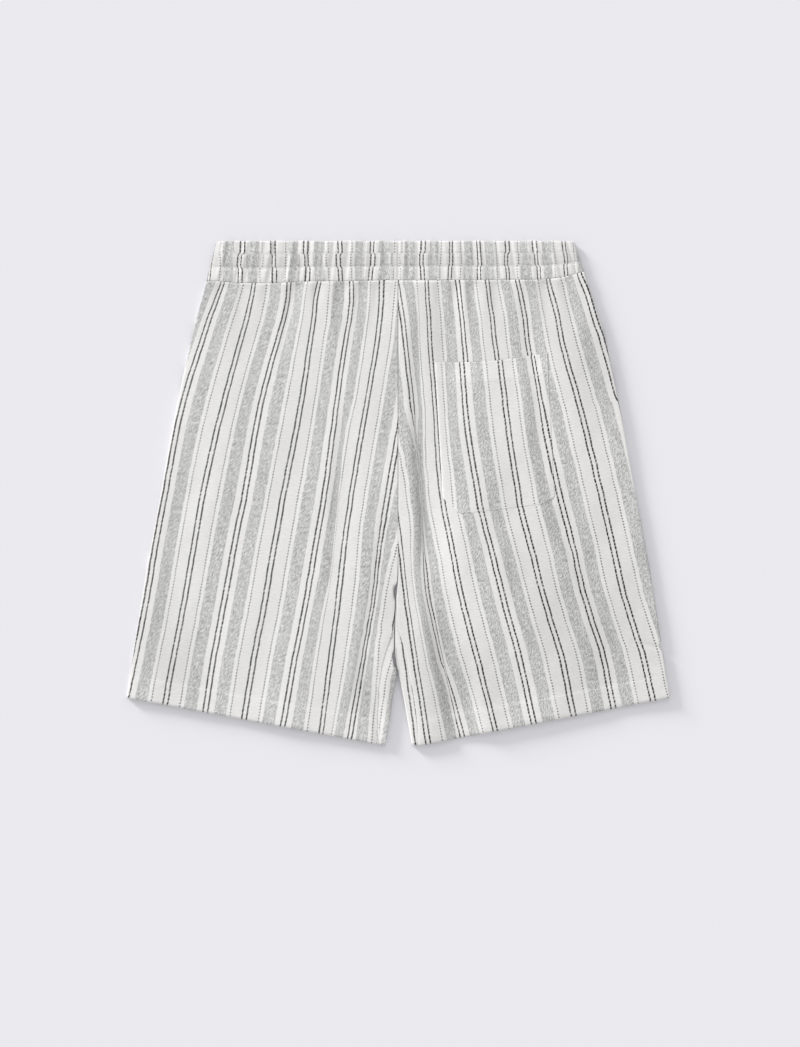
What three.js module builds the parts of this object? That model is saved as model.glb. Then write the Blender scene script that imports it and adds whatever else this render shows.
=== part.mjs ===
// Bermuda shorts with an elasticated waist, laid flat on a surface with the back uppermost.
// X runs across the garment, +Y runs up to the waistband and +Z stands off the surface.
// The origin is on the surface, under the middle of the garment. Sizes are in millimetres.
import * as THREE from "three";

// Driving dimensions
const WAIST_EDGE_Y = 267; // the top edge of the waistband, from the middle of the garment
const WAIST_SEAM_Y = { centre: 223, side: 225 }; // the seam dips a little at the centre
const HEM_Y = { centre: -267, side: -216.2 }; // each hem slopes up towards its side seam
const WAIST_TOP_HALF = 189; // half the width of the waistband's top edge
const SEAM_GAP = 0.3; // clearance between pieces that are sewn to each other

const PANEL_WALL = 1.4; // one thickness of cloth
const HEM_WALL = 1.9; // the cloth and its turned hem
const POCKET_WALL = 1.2;
const POCKET_FACING_WALL = 1.8; // the pocket's cloth and the hem turned behind its mouth
const WAISTBAND_WALL = 3; // two thicknesses of cloth with the elastic between them

const SEAM_Z = 2.9; // height of the side seams and inseams above the surface
const BACK_TOP_Z = 5.6; // height of the back panels where they are smooth
const WAISTBAND_TOP_Z = 7.2;
const EDGE_ROLL = 3; // how far in from a folded edge the cloth rolls over
const WAISTBAND_ROLL = 6;
const CENTRE_SEAM_SINK = 0.22; // share of the roll that the centre back seam pulls down

// The legs' outline, level by level. "down" is 0 at the waist seam and 1 at the hem, and the
// rest are distances from the centre line: the side seam, and the left and right inner edges.
const LEVELS = [
  { name: "waist seam", down: 0, side: 203, leftInner: 0, rightInner: 0 },
  { name: "high hip", down: 0.1, side: 215, leftInner: 0, rightInner: 0 },
  { name: "hip", down: 0.2, side: 225, leftInner: 0, rightInner: 0 },
  { name: "low hip", down: 0.3, side: 234.2, leftInner: 0, rightInner: 0 },
  { name: "seat", down: 0.45, side: 246.5, leftInner: 0, rightInner: 0 },
  { name: "crotch", down: 0.633, side: 261.3, leftInner: 0, rightInner: 0 },
  { name: "upper thigh", down: 0.7, side: 267, leftInner: 4.2, rightInner: 0.3 },
  { name: "thigh", down: 0.8, side: 273.9, leftInner: 5.2, rightInner: 1.2 },
  { name: "lower thigh", down: 0.88, side: 279.3, leftInner: 5.4, rightInner: 5 },
  { name: "hem stitching", down: 0.944, side: 283.6, leftInner: 8.4, rightInner: 9.6 },
  { name: "hem", down: 1, side: 287.6, leftInner: 14, rightInner: 14.6 },
];
const HEM_STEP = { above: 0.941, below: 0.947 }; // the turned hem ends between these levels
const CROTCH = { closed: 0.6, open: 0.69 }; // the inner edge turns from a seam to a folded edge

// Troughs that run down from the waistband's gathers. "at" is where each one leaves the
// waistband, "reach" how far down it fades out and "lean" how far it drifts on the way.
const GATHERS = [
  { at: -186, reach: 48, lean: -9, depth: 1.1 },
  { at: -161, reach: 66, lean: -14, depth: 1.3 },
  { at: -136, reach: 44, lean: -8, depth: 1 },
  { at: -111, reach: 104, lean: -16, depth: 2 },
  { at: -86, reach: 52, lean: -6, depth: 1.3 },
  { at: -61, reach: 88, lean: -12, depth: 2 },
  { at: -42, reach: 42, lean: -5, depth: 1.2 },
  { at: -22, reach: 60, lean: -6, depth: 1.1 },
  { at: 44, reach: 58, lean: 5, depth: 1.2 },
  { at: 73, reach: 84, lean: 6, depth: 2 },
  { at: 99, reach: 50, lean: 6, depth: 1.2 },
  { at: 153, reach: 56, lean: 9, depth: 1.3 },
  { at: 176, reach: 74, lean: 16, depth: 1.5 },
  { at: 194, reach: 46, lean: 10, depth: 1 },
];
const GATHER_HALF_WIDTH = 9;

// The larger folds, each along a line that may bow sideways. "rise" is below 0 for a trough.
const FOLDS = [
  { name: "left thigh trough", x0: -19, y0: 8, x1: -49, y1: -285, bow: 3, half: 10, rise: -2.2 },
  { name: "left thigh ridge", x0: -6, y0: -40, x1: -30, y1: -290, bow: 2, half: 13, rise: 1.1 },
  { name: "left seat trough", x0: -58, y0: 70, x1: -86, y1: -170, bow: 0, half: 15, rise: -1.1 },
  { name: "left hip swell", x0: -186, y0: 130, x1: -222, y1: -40, bow: 0, half: 30, rise: 1 },
  { name: "left outer trough", x0: -226, y0: 0, x1: -252, y1: -170, bow: 0, half: 20, rise: -1.1 },
  { name: "left thigh swell", x0: -98, y0: -70, x1: -128, y1: -250, bow: 0, half: 28, rise: 0.9 },
  { name: "centre groove", x0: 17, y0: 232, x1: 64, y1: -262, bow: -16, half: 9, rise: -2.4 },
  { name: "right thigh roll", x0: 40, y0: 60, x1: 98, y1: -240, bow: 0, half: 21, rise: 1.1 },
  { name: "pocket side trough", x0: 126, y0: 240, x1: 163, y1: -60, bow: 0, half: 10, rise: -2.3 },
  { name: "right lower trough", x0: 196, y0: 20, x1: 229, y1: -215, bow: 0, half: 15, rise: -1.7 },
  { name: "right side swell", x0: 214, y0: 110, x1: 256, y1: -120, bow: 4, half: 20, rise: 1 },
];
const CREASE = { x0: 174, x1: 290, y0: -143, y1: -164, half: 8, rise: -1.5 }; // by the right hem

// The waistband's rows from its seam to its top edge: three channels between two rows of
// stitching, with the height of each row and how strongly the elastic gathers it.
const BAND_ROWS = [
  { name: "seam edge", up: 0, sink: 0.6, gather: 0.45 },
  { name: "lower channel", up: 0.17, sink: 0, gather: 0.75 },
  { name: "lower stitching", up: 0.34, sink: 0.9, gather: 0.35 },
  { name: "middle channel", up: 0.5, sink: 0.2, gather: 0.7 },
  { name: "upper stitching", up: 0.66, sink: 0.9, gather: 0.35 },
  { name: "upper channel", up: 0.83, sink: 0, gather: 0.75 },
  { name: "top edge", up: 1, sink: 0.7, gather: 0.5 },
];
const BAND_GATHERS = 30; // across the back
const BAND_STEPS_PER_GATHER = 4;
const BAND_UNEVENNESS = [
  { shift: 0.8, over: 31 }, // how far the gathers drift, in radians, and over what length
  { shift: 0.5, over: 13 },
];
const BAND_CORNER_DROP = 3.5; // the top corners round off

// The back pocket on the right panel, in the panel's own "across" and "down"
const POCKET = { inner: 0.18, outer: 0.69, mouth: 0.17, facing: 0.215, corner: 0.475, bottom: 0.513 };
const FACING_STEP = 0.004;

// Grid stations
const ROLL_ANGLES = [0, 30, 60, 90].map((degrees) => (degrees * Math.PI) / 180);
const PANEL_ROWS = [
  0, 0.02, 0.05, 0.09, 0.13, POCKET.mouth, POCKET.facing, POCKET.facing + FACING_STEP, 0.27, 0.33,
  0.39, 0.44, POCKET.corner, POCKET.bottom, 0.56, 0.6, 0.633, 0.665, 0.71, 0.77, 0.83, 0.89,
  HEM_STEP.above, HEM_STEP.below, 1,
];
const INNER_ZONE_STEPS = 6; // columns from the centre to the pocket
const POCKET_ZONE_STEPS = 19; // columns over the pocket
const OUTER_ZONE_STEPS = 10; // columns from the pocket to the side
const FRONT_COLUMNS = 5; // flat columns of a front panel

const CLOTH = { color: 0xd9d8d5, roughness: 0.92, metalness: 0 };
const BAND_CLOTH = { color: 0xdedddb, roughness: 0.9, metalness: 0 };

const { lerp, clamp, smoothstep } = THREE.MathUtils;

// A smooth curve through one column of the levels table
function levelAt(key, down) {
  const last = LEVELS.length - 1;
  const i = clamp(LEVELS.findIndex((row) => row.down >= down) - 1, 0, last - 1);
  const slopeAt = (k) => {
    const [before, after] = [LEVELS[Math.max(k - 1, 0)], LEVELS[Math.min(k + 1, last)]];
    return (after[key] - before[key]) / (after.down - before.down);
  };
  const [a, b] = [LEVELS[i], LEVELS[i + 1]];
  const span = b.down - a.down;
  const t = (down - a.down) / span;
  const [t2, t3] = [t * t, t * t * t];
  return (
    (2 * t3 - 3 * t2 + 1) * a[key] +
    (t3 - 2 * t2 + t) * span * slopeAt(i) +
    (3 * t2 - 2 * t3) * b[key] +
    (t3 - t2) * span * slopeAt(i + 1)
  );
}

// Height of the waist seam, and of any level line, at a share of the way out to the side
const waistSeamY = (across) => lerp(WAIST_SEAM_Y.centre, WAIST_SEAM_Y.side, across * across);
const levelY = (across, down) =>
  lerp(waistSeamY(across) - SEAM_GAP / 2, lerp(HEM_Y.centre, HEM_Y.side, across), down);

// A rounded bump that is 1 on the line and 0 a half width away from it
const bump = (distance, half) =>
  Math.abs(distance) < half ? Math.cos((Math.PI * distance) / (2 * half)) ** 2 : 0;
const fadeEnds = (share) => smoothstep(share, 0, 0.25) * (1 - smoothstep(share, 0.75, 1));

function gatherDepth({ at, reach, lean, depth }, x, y) {
  const below = WAIST_SEAM_Y.side - y;
  const centre = at + (lean * below) / reach;
  return depth * (1 - smoothstep(below, 0, reach)) * bump(x - centre, GATHER_HALF_WIDTH);
}

function foldRise({ x0, y0, x1, y1, bow, half, rise }, x, y) {
  const share = (y0 - y) / (y0 - y1);
  const centre = lerp(x0, x1, share) + 4 * bow * share * (1 - share);
  return rise * fadeEnds(share) * bump(x - centre, half);
}

function creaseRise({ x0, y0, x1, y1, half, rise }, x, y) {
  const share = (x - x0) / (x1 - x0);
  return rise * fadeEnds(share) * bump(y - lerp(y0, y1, share), half);
}

// Height of the back panels' outer face over a point of the surface. Troughs stop where the
// wall comes down on the front panel.
function backHeight(x, y, wall) {
  let z = BACK_TOP_Z + creaseRise(CREASE, x, y);
  for (const gather of GATHERS) z -= gatherDepth(gather, x, y);
  for (const fold of FOLDS) z += foldRise(fold, x, y);
  const lowest = 2 * wall + SEAM_GAP;
  const softness = 0.3;
  return lowest + softness * Math.log1p(Math.exp((z - lowest) / softness));
}

function slopeNormal(x, y, wall) {
  const step = 0.5;
  const alongX = backHeight(x + step, y, wall) - backHeight(x - step, y, wall);
  const alongY = backHeight(x, y + step, wall) - backHeight(x, y - step, wall);
  return new THREE.Vector3(-alongX, -alongY, 2 * step).normalize();
}

const wallAt = (down) => (down < (HEM_STEP.above + HEM_STEP.below) / 2 ? PANEL_WALL : HEM_WALL);

// Columns of a panel from its side seam to its inner edge: each is either part of a rolled
// edge, with its angle, or a share of the way across between the two rolls.
function panelColumns(flatShares) {
  const side = ROLL_ANGLES.map((angle) => ({ edge: "side", angle }));
  const inner = [...ROLL_ANGLES].reverse().map((angle) => ({ edge: "inner", angle }));
  return [...side, ...flatShares.map((share) => ({ share })), ...inner];
}

const steps = (from, to, count) =>
  Array.from({ length: count }, (_, i) => lerp(from, to, i / count));
const backShares = [
  ...steps(1, POCKET.outer, OUTER_ZONE_STEPS).slice(1),
  ...steps(POCKET.outer, POCKET.inner, POCKET_ZONE_STEPS),
  ...steps(POCKET.inner, 0, INNER_ZONE_STEPS),
];
const frontShares = steps(1, 0, FRONT_COLUMNS).slice(1);

// One station of a leg's wall: where it is in plan, how far the edge has risen from the seam
// and which way the wall faces. "hand" is -1 for the left leg and 1 for the right.
function station(hand, column, down, rollHeight, sink) {
  const sideX = levelAt("side", down);
  const innerKey = hand < 0 ? "leftInner" : "rightInner";
  const innerX = Math.max(levelAt(innerKey, down), 0) + SEAM_GAP / 2;
  const angle = column.edge ? column.angle : Math.PI / 2;
  const roll = EDGE_ROLL * (1 - Math.cos(angle));
  let x = lerp(innerX + EDGE_ROLL, sideX - EDGE_ROLL, column.share);
  let turned = 0;
  if (column.edge === "side") {
    x = sideX - roll;
    turned = 1;
  } else if (column.edge === "inner") {
    x = innerX + roll;
    turned = lerp(sink, 1, smoothstep(down, CROTCH.closed, CROTCH.open));
  }
  const outward = column.edge === "inner" ? -1 : 1;
  const facing = new THREE.Vector3(
    hand * outward * turned * rollHeight * Math.cos(angle),
    0,
    EDGE_ROLL * (1 - turned * (1 - Math.sin(angle))),
  ).normalize();
  const y = levelY((x - innerX) / (sideX - innerX), down);
  return { x: hand * x, y, risen: 1 - turned * (1 - Math.sin(angle)), facing };
}

// The back panel's outer points with the direction that each one faces
function backSurface(hand) {
  const columns = panelColumns(backShares);
  return PANEL_ROWS.map((down) =>
    columns.map((column) => {
      const at = station(hand, column, down, BACK_TOP_Z - SEAM_Z, CENTRE_SEAM_SINK);
      const base = SEAM_Z + SEAM_GAP / 2;
      const top = backHeight(at.x, at.y, wallAt(down));
      const normal = column.edge ? at.facing : slopeNormal(at.x, at.y, wallAt(down));
      return { point: new THREE.Vector3(at.x, at.y, lerp(base, top, at.risen)), normal, down };
    }),
  );
}

// The front panel lies flat under the back one, with its edges rolled up to the seams
function frontSurface(hand) {
  const columns = panelColumns(frontShares);
  return PANEL_ROWS.map((down) =>
    columns.map((column) => {
      const at = station(hand, column, down, SEAM_Z, 0);
      const z = (SEAM_Z - SEAM_GAP / 2) * (1 - at.risen);
      const normal = new THREE.Vector3(at.facing.x, 0, -at.facing.z);
      return { point: new THREE.Vector3(at.x, at.y, z), normal, down };
    }),
  );
}

// A closed wall between two grids of points with the same rows and columns
function wallGeometry(outer, inner, flipped) {
  const [rows, columns] = [outer.length, outer[0].length];
  const positions = [...outer.flat(), ...inner.flat()].flatMap((p) => [p.x, p.y, p.z]);
  const indices = [];
  const same = (a, b) => [0, 1, 2].every((k) => positions[3 * a + k] === positions[3 * b + k]);
  const triangle = (a, b, c) => {
    if (same(a, b) || same(b, c) || same(c, a)) return;
    indices.push(...(flipped ? [a, c, b] : [a, b, c]));
  };
  const quad = (a, b, c, d) => {
    triangle(a, b, c);
    triangle(a, c, d);
  };
  const out = (r, c) => r * columns + c;
  const back = (r, c) => rows * columns + r * columns + c;
  for (let r = 0; r < rows - 1; r++) {
    for (let c = 0; c < columns - 1; c++) {
      quad(out(r, c), out(r + 1, c), out(r + 1, c + 1), out(r, c + 1));
      quad(back(r, c + 1), back(r + 1, c + 1), back(r + 1, c), back(r, c));
    }
    quad(out(r, 0), back(r, 0), back(r + 1, 0), out(r + 1, 0));
    const last = columns - 1;
    quad(out(r + 1, last), back(r + 1, last), back(r, last), out(r, last));
  }
  for (let c = 0; c < columns - 1; c++) {
    quad(out(0, c + 1), back(0, c + 1), back(0, c), out(0, c));
    quad(out(rows - 1, c), back(rows - 1, c), back(rows - 1, c + 1), out(rows - 1, c + 1));
  }
  const geometry = new THREE.BufferGeometry();
  geometry.setAttribute("position", new THREE.Float32BufferAttribute(positions, 3));
  geometry.setIndex(indices);
  geometry.computeVertexNormals();
  return geometry;
}

const moved = ({ point, normal }, distance) => point.clone().addScaledVector(normal, distance);

function panelMesh(name, surface, flipped) {
  const outer = surface.map((row) => row.map(({ point }) => point));
  const inner = surface.map((row) => row.map((at) => moved(at, -wallAt(at.down))));
  return clothMesh(name, wallGeometry(outer, inner, flipped), CLOTH);
}

function clothMesh(name, geometry, look) {
  const mesh = new THREE.Mesh(geometry, new THREE.MeshStandardMaterial(look));
  mesh.name = name;
  return mesh;
}

// The pocket is the panel's own points under it, moved out. Its two lower corners are cut off,
// so the last row takes the corner row's points at both ends.
function pocketMesh(panel) {
  const firstRow = PANEL_ROWS.indexOf(POCKET.mouth);
  const lastRow = PANEL_ROWS.indexOf(POCKET.bottom);
  const firstColumn = ROLL_ANGLES.length + OUTER_ZONE_STEPS - 1;
  const lastColumn = firstColumn + POCKET_ZONE_STEPS;
  const rows = panel.slice(firstRow, lastRow + 1).map((row) => row.slice(firstColumn, lastColumn + 1));
  const cornerRow = rows[rows.length - 2];
  const bottomRow = rows[rows.length - 1];
  bottomRow[0] = cornerRow[0];
  bottomRow[bottomRow.length - 1] = cornerRow[cornerRow.length - 1];
  const wall = (at) => (at.down <= POCKET.facing ? POCKET_FACING_WALL : POCKET_WALL);
  const outer = rows.map((row) => row.map((at) => moved(at, SEAM_GAP + wall(at))));
  const inner = rows.map((row) => row.map((at) => moved(at, SEAM_GAP)));
  return clothMesh("back_pocket", wallGeometry(outer, inner, true), CLOTH);
}

// Stations of the waistband's loop, starting at the centre back and going round by the left.
// "out" is the share of the way out to the fold, and "angle" turns from the top to the bottom.
function bandStations() {
  const backSteps = (BAND_GATHERS * BAND_STEPS_PER_GATHER) / 2;
  const foldAngles = [30, 60, 90, 120, 150].map((degrees) => (degrees * Math.PI) / 180);
  const frontSteps = 8;
  const back = steps(0, 1, backSteps).map((out) => ({ hand: -1, out, angle: 0 }));
  const fold = [0, ...foldAngles].map((angle) => ({ hand: -1, out: 1, angle }));
  const front = steps(1, 0, frontSteps).map((out) => ({ hand: -1, out, angle: Math.PI }));
  const leftHalf = [...back, ...fold, ...front];
  const middle = { hand: 1, out: 0, angle: Math.PI };
  const rightHalf = leftHalf.map((at) => ({ ...at, hand: 1 })).reverse();
  return [...leftHalf, middle, ...rightHalf];
}

// The elastic's gathers, uneven along the waistband
function bandWave(x, halfWidth) {
  let phase = (Math.PI * BAND_GATHERS * x) / halfWidth;
  for (const { shift, over } of BAND_UNEVENNESS) phase += shift * Math.sin(x / over);
  return Math.sin(phase);
}

function bandPoints(row, at) {
  const halfWidth = lerp(levelAt("side", 0), WAIST_TOP_HALF, row.up);
  const flat = halfWidth - WAISTBAND_ROLL;
  const [sin, cos] = [Math.sin(at.angle), Math.cos(at.angle)];
  const onBack = at.angle < Math.PI / 2 ? 1 : 0;
  const seamHalfGap = at.angle === 0 ? SEAM_GAP / 2 : 0;
  const across = lerp(seamHalfGap, flat, at.out);
  const x = at.hand * (across + WAISTBAND_ROLL * sin);
  const y0 = waistSeamY(Math.abs(x) / halfWidth) + SEAM_GAP / 2;
  const y = lerp(y0, WAIST_EDGE_Y - BAND_CORNER_DROP * sin * sin, row.up);
  const half = WAISTBAND_TOP_Z / 2; // the fold at the side is a half turn about this height
  const relief = onBack * cos * (row.gather * bandWave(x, flat) - row.sink);
  const outer = new THREE.Vector3(x, y, half + half * cos + relief);
  const innerX = at.hand * (across + (WAISTBAND_ROLL - WAISTBAND_WALL) * sin);
  const inner = new THREE.Vector3(innerX, y, half + (half - WAISTBAND_WALL) * cos);
  return { outer, inner };
}

function waistbandMesh() {
  const stations = bandStations();
  const grid = BAND_ROWS.map((row) => stations.map((at) => bandPoints(row, at)));
  const outer = grid.map((row) => row.map((pair) => pair.outer));
  const inner = grid.map((row) => row.map((pair) => pair.inner));
  return clothMesh("waistband", wallGeometry(outer, inner, false), BAND_CLOTH);
}

const shorts = new THREE.Group();
const leftBack = backSurface(-1);
const rightBack = backSurface(1);
shorts.add(
  panelMesh("back_left_panel", leftBack, false),
  panelMesh("back_right_panel", rightBack, true),
  panelMesh("front_left_panel", frontSurface(-1), true),
  panelMesh("front_right_panel", frontSurface(1), false),
  pocketMesh(rightBack),
  waistbandMesh(),
);

export default shorts;
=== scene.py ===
# %% [markdown]
# # Bermuda shorts, laid flat with the back uppermost
#
# The shorts are sewn from six pieces of one striped cloth: two back panels, two front panels
# underneath, a gathered waistband and a patch pocket. Each piece is a fine grid of cloth whose
# points are moved into place by a few small functions, so that folds, gathers and stripes can
# all be worked out from the same sizes. Sizes are in millimetres in the tables, and are turned
# into metres when a point is placed.

# %% Load the frame
import math

import bmesh
import bpy
import numpy as np
from mathutils import Matrix, Vector
from mathutils.bvhtree import BVHTree


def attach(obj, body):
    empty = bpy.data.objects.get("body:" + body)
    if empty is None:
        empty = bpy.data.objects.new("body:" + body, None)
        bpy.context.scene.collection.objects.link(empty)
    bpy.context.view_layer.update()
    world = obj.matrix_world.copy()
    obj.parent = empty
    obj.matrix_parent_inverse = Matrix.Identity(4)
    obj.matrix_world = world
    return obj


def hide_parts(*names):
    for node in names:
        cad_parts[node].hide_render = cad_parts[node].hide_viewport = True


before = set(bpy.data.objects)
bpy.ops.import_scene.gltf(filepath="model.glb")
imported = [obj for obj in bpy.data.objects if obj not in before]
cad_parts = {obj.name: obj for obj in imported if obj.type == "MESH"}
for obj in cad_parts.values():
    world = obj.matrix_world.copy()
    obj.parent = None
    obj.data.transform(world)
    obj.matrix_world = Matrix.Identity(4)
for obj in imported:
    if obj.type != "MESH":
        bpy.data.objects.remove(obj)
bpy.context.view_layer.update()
print("frame:", sorted(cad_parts))

# %% [markdown]
# ## The outline
#
# Seen from above, each leg lies between its side seam and an inner edge, which is the centre
# back seam down to the crotch and the inside of the leg below it. A short table gives those
# edges at a few levels, from 0 at the waist seam to 1 at the hem, and a smooth curve joins them.
# The right leg has rolled a little, so its inside seam lies on top, just in from the fold: "wrap"
# says how far in. The waist seam wanders, and climbs at the right where it has been pulled up.

# %% Outline table and smooth curves
MM = 0.001
LEVELS = np.array([
    (0.000, 203.0, 0.0, 0.0, 0.0),
    (0.100, 215.0, 0.0, 0.0, 0.0),
    (0.200, 225.0, 0.0, 0.0, 0.0),
    (0.300, 234.2, 0.0, 0.0, 0.0),
    (0.450, 246.5, 0.0, 0.0, 0.0),
    (0.600, 258.6, 0.0, 0.0, 0.0),
    (0.633, 261.3, 0.5, 0.0, 0.0),
    (0.700, 267.0, 3.1, -2.8, 0.6),
    (0.770, 271.8, 3.8, -3.5, 6.5),
    (0.800, 273.9, 3.9, -3.6, 11.5),
    (0.850, 277.4, 1.6, 0.6, 11.7),
    (0.880, 279.3, 4.6, 3.6, 11.5),
    (0.944, 283.6, 8.6, 9.6, 10.0),
    (1.000, 287.6, 13.5, 14.6, 7.0),
], dtype=[(name, "f8") for name in ("down", "side", "left_inner", "right_inner", "wrap")])
WAIST_SEAM_Y = {"centre": 222.85, "side": 224.85}
HEM_Y = {"centre": -267.0, "side": -216.2}
HALF_WAIST = {-1: 203.0, 1: 196.4}  # half widths at the waist seam; -1 is the left leg, 1 the right
WAIST_LIFT = 0.0214  # how far above the waist seam the right side seam starts, as a level
WAIST_WANDER = (  # x, and how far the waist seam lies above its even curve
    (-210, -194, -168, -141, -115, -93, -51, -14, 129, 160, 196),
    (0, -0.3, -1.7, -1.6, -0.4, 1.0, 1.5, 2.6, 2.3, 1.6, 0.4),
)
CORNER_CLIMB = {"from": 140, "over": 55, "height": 9.0}
SLITS = {"levels": (0.668, 0.812), "half": 0.015, "depth": 2.2}
NOTCH = {"level": 0.8775, "half": 0.009, "depth": 2.6}
SEAM_GAP = 0.3
WAIST_SEAM_Z = 6.5  # how high the cloth lies at the waist seam


def lerp(a, b, t):
    return a + (b - a) * t


def smoothstep(x, low, high):
    t = np.clip((x - low) / (high - low), 0, 1)
    return t * t * (3 - 2 * t)


def smooth_curve(xs, ys, x):
    """A smooth curve through a few points, by cubic pieces that share their slopes."""
    xs, ys = np.asarray(xs, float), np.asarray(ys, float)
    slopes = np.gradient(ys, xs)
    i = np.clip(np.searchsorted(xs, x) - 1, 0, len(xs) - 2)
    span = xs[i + 1] - xs[i]
    t = (x - xs[i]) / span
    rise = ys[i + 1] - ys[i]
    start, end = slopes[i] * span, slopes[i + 1] * span
    inside = ys[i] + start * t + (3 * rise - 2 * start - end) * t**2 + (start + end - 2 * rise) * t**3
    before = ys[i] + start * t
    after = ys[i + 1] + end * (t - 1)
    return np.where(t < 0, before, np.where(t > 1, after, inside))


def level(column, down):
    """The smooth value of one of the table's columns."""
    return smooth_curve(LEVELS["down"], LEVELS[column], down)


def inner_edge(hand, down):
    """The inside edge of a leg, with the two short slits where the left leg lifts off the right."""
    if hand > 0:
        return level("right_inner", down)
    inner = level("left_inner", down)
    for middle in SLITS["levels"]:
        inner = inner + SLITS["depth"] * np.exp(-(((down - middle) / SLITS["half"]) ** 4))
    return inner


def waist_rise(x):
    """How far the waist seam lies above its even curve, with the climb to its right corner."""
    climb = np.clip((x - CORNER_CLIMB["from"]) / CORNER_CLIMB["over"], 0, None)
    return np.interp(x, *WAIST_WANDER) + CORNER_CLIMB["height"] * climb**2


def side_edge(hand, down):
    """The side seam. The right one starts higher and nearer, and has a small notch near the hem."""
    if hand < 0:
        return level("side", down)
    below = down * (1 + WAIST_LIFT) - WAIST_LIFT
    notch = NOTCH["depth"] * np.exp(-(((below - NOTCH["level"]) / NOTCH["half"]) ** 2))
    nearer = 3.7 * (1 - smoothstep(down, 0, 0.16))
    return level("side", below) - notch - nearer


def panel_y(hand, out, down):
    """Height on the table of a point that is a share "out" of the way to the side seam."""
    top = WAIST_SEAM_Y["centre"] + (WAIST_SEAM_Y["side"] - WAIST_SEAM_Y["centre"]) * out**2
    top = top + waist_rise(hand * out * HALF_WAIST[hand])
    hem = HEM_Y["centre"] + (HEM_Y["side"] - HEM_Y["centre"]) * out
    return top + (hem - top) * down


print("leg levels:", len(LEVELS))

# %% [markdown]
# ## How the cloth lies
#
# Cloth that lies flat is never quite flat. Three things shape it here: short troughs that run
# down from the waistband's gathers, a few long folds where the legs have been smoothed out by
# hand, and a slight crumple everywhere. A cloth simulation would give folds in other places, so
# each fold is listed instead: a path, a width on each side and a rise, below zero for a
# trough. "tuck" is the width of cloth that is hidden in it, and "fade" the share of its length
# over which it dies away at each end.

# %% Folds, gathers and crumple
BACK_TOP_Z = 5.6
SEAM_Z = 2.9
EDGE_ROLL = 0.9
CLOTH_THICKNESS = 0.6
LOWEST_BACK_Z = 2.2
WAIST_SWELL = {"rise": 1.3, "reach": 11}  # the cloth bulges just below the waistband


def table(columns, *rows):
    """Rows whose values have names."""
    return [dict(zip(columns.split(), row)) for row in rows]


FOLDS = table(
    # half widths to the left and right, rise, hidden width, fade, and a path as (x, y) points
    "name left right rise tuck fade path",
    ("centre groove", 15, 40, -3.0, 5, 0.2,
     [(21, 232), (22, 140), (24, 67), (29, -20), (37, -112), (51, -192), (63, -262), (80, -380)]),
    ("right thigh roll", 24, 80, 1.6, 0, 0.2, [(44, 60), (62, -70), (84, -160), (102, -262), (120, -360)]),
    ("pocket side trough", 17, 45, -2.0, 1, 0.2,
     [(135, 280), (143, 150), (149, 100), (156, 20), (170, -30), (198, -90), (224, -165)]),
    ("right lower trough", 30, 50, -1.2, 0, 0.2, [(196, 30), (215, -80), (232, -215), (245, -320)]),
    ("right side swell", 40, 60, 1.0, 0, 0.2, [(178, 200), (200, 60), (225, -60)]),
    ("left thigh trough", 17, 30, -1.9, 12, 0.35,
     [(-1, 34), (-6.4, -5.3), (-15, -60.4), (-20, -107.1), (-25.1, -138), (-30.1, -166.4),
      (-39.4, -219.4), (-46.5, -262), (-52, -300)]),
    ("left inner trough", 8, 10, -1.0, 25, 0.35,
     [(2.9, -120), (-2.6, -138), (-6.3, -150), (-12.7, -166.4), (-18.7, -190), (-21.3, -219.4),
      (-22.1, -262), (-25, -360)]),
    ("left seat trough", 12, 28, -1.4, 7, 0.2, [(-52, 110), (-58, 67), (-64, -7), (-69, -71), (-76, -130)]),
    ("left hip swell", 40, 30, 1.1, 0, 0.2, [(-165, 160), (-186, 40), (-205, -60)]),
    ("left outer trough", 18, 32, -1.1, 0, 0.2, [(-206, 40), (-228, -20), (-240, -100), (-252, -180)]),
    ("left thigh swell", 30, 40, 0.8, 0, 0.2, [(-96, -50), (-112, -150), (-128, -330)]),
)
GATHERS = table(
    # where it leaves the waistband, how far down it fades out, its drift, depth and half width
    "at reach lean depth half",
    (-186, 48, -9, 1.0, 8), (-161, 66, -14, 1.1, 9), (-136, 44, -8, 0.9, 8), (-110, 110, -18, 2.2, 8),
    (-86, 40, -2, 1.4, 6), (-61, 76, -6, 1.9, 9), (-41, 60, -4, 1.8, 8), (-22, 60, -6, 1.0, 8),
    (42, 44, 4, 1.2, 7), (58, 66, 3, 1.7, 7), (76, 84, 5, 2.0, 8), (101, 50, 6, 1.1, 8),
    (152, 72, 12, 1.4, 8), (176, 74, 16, 1.3, 9), (194, 46, 10, 0.9, 8),
)
SIDE_CREASES = table(
    # short creases that run in from the right side seam near the hem
    "x0 y0 x1 y1 half rise",
    (242, -157, 278, -163, 4, -0.7),
    (236, -196, 290, -188, 9, 0.4),
)
CRUMPLE = table(
    # waves of slight unevenness: length across, length along, phase, height
    "across along phase rise",
    (146, 230, 0.4, 0.24), (-92, 170, 2.1, 0.18), (61, -120, 4.4, 0.12),
    (37, 88, 1.2, 0.07), (-29, 41, 3.3, 0.045), (17, 33, 5.2, 0.03),
)


def fold_line(fold, y):
    """Where a fold's line runs at a height, and how strong the fold is there."""
    path = sorted(fold["path"], key=lambda point: point[1])
    ys = [point[1] for point in path]
    low, high = fold.get("between", (ys[0], ys[-1]))
    share = (y - low) / (high - low)
    strength = smoothstep(share, 0, fold["fade"]) * (1 - smoothstep(share, 1 - fold["fade"], 1))
    return smooth_curve(ys, [point[0] for point in path], y), strength


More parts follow.
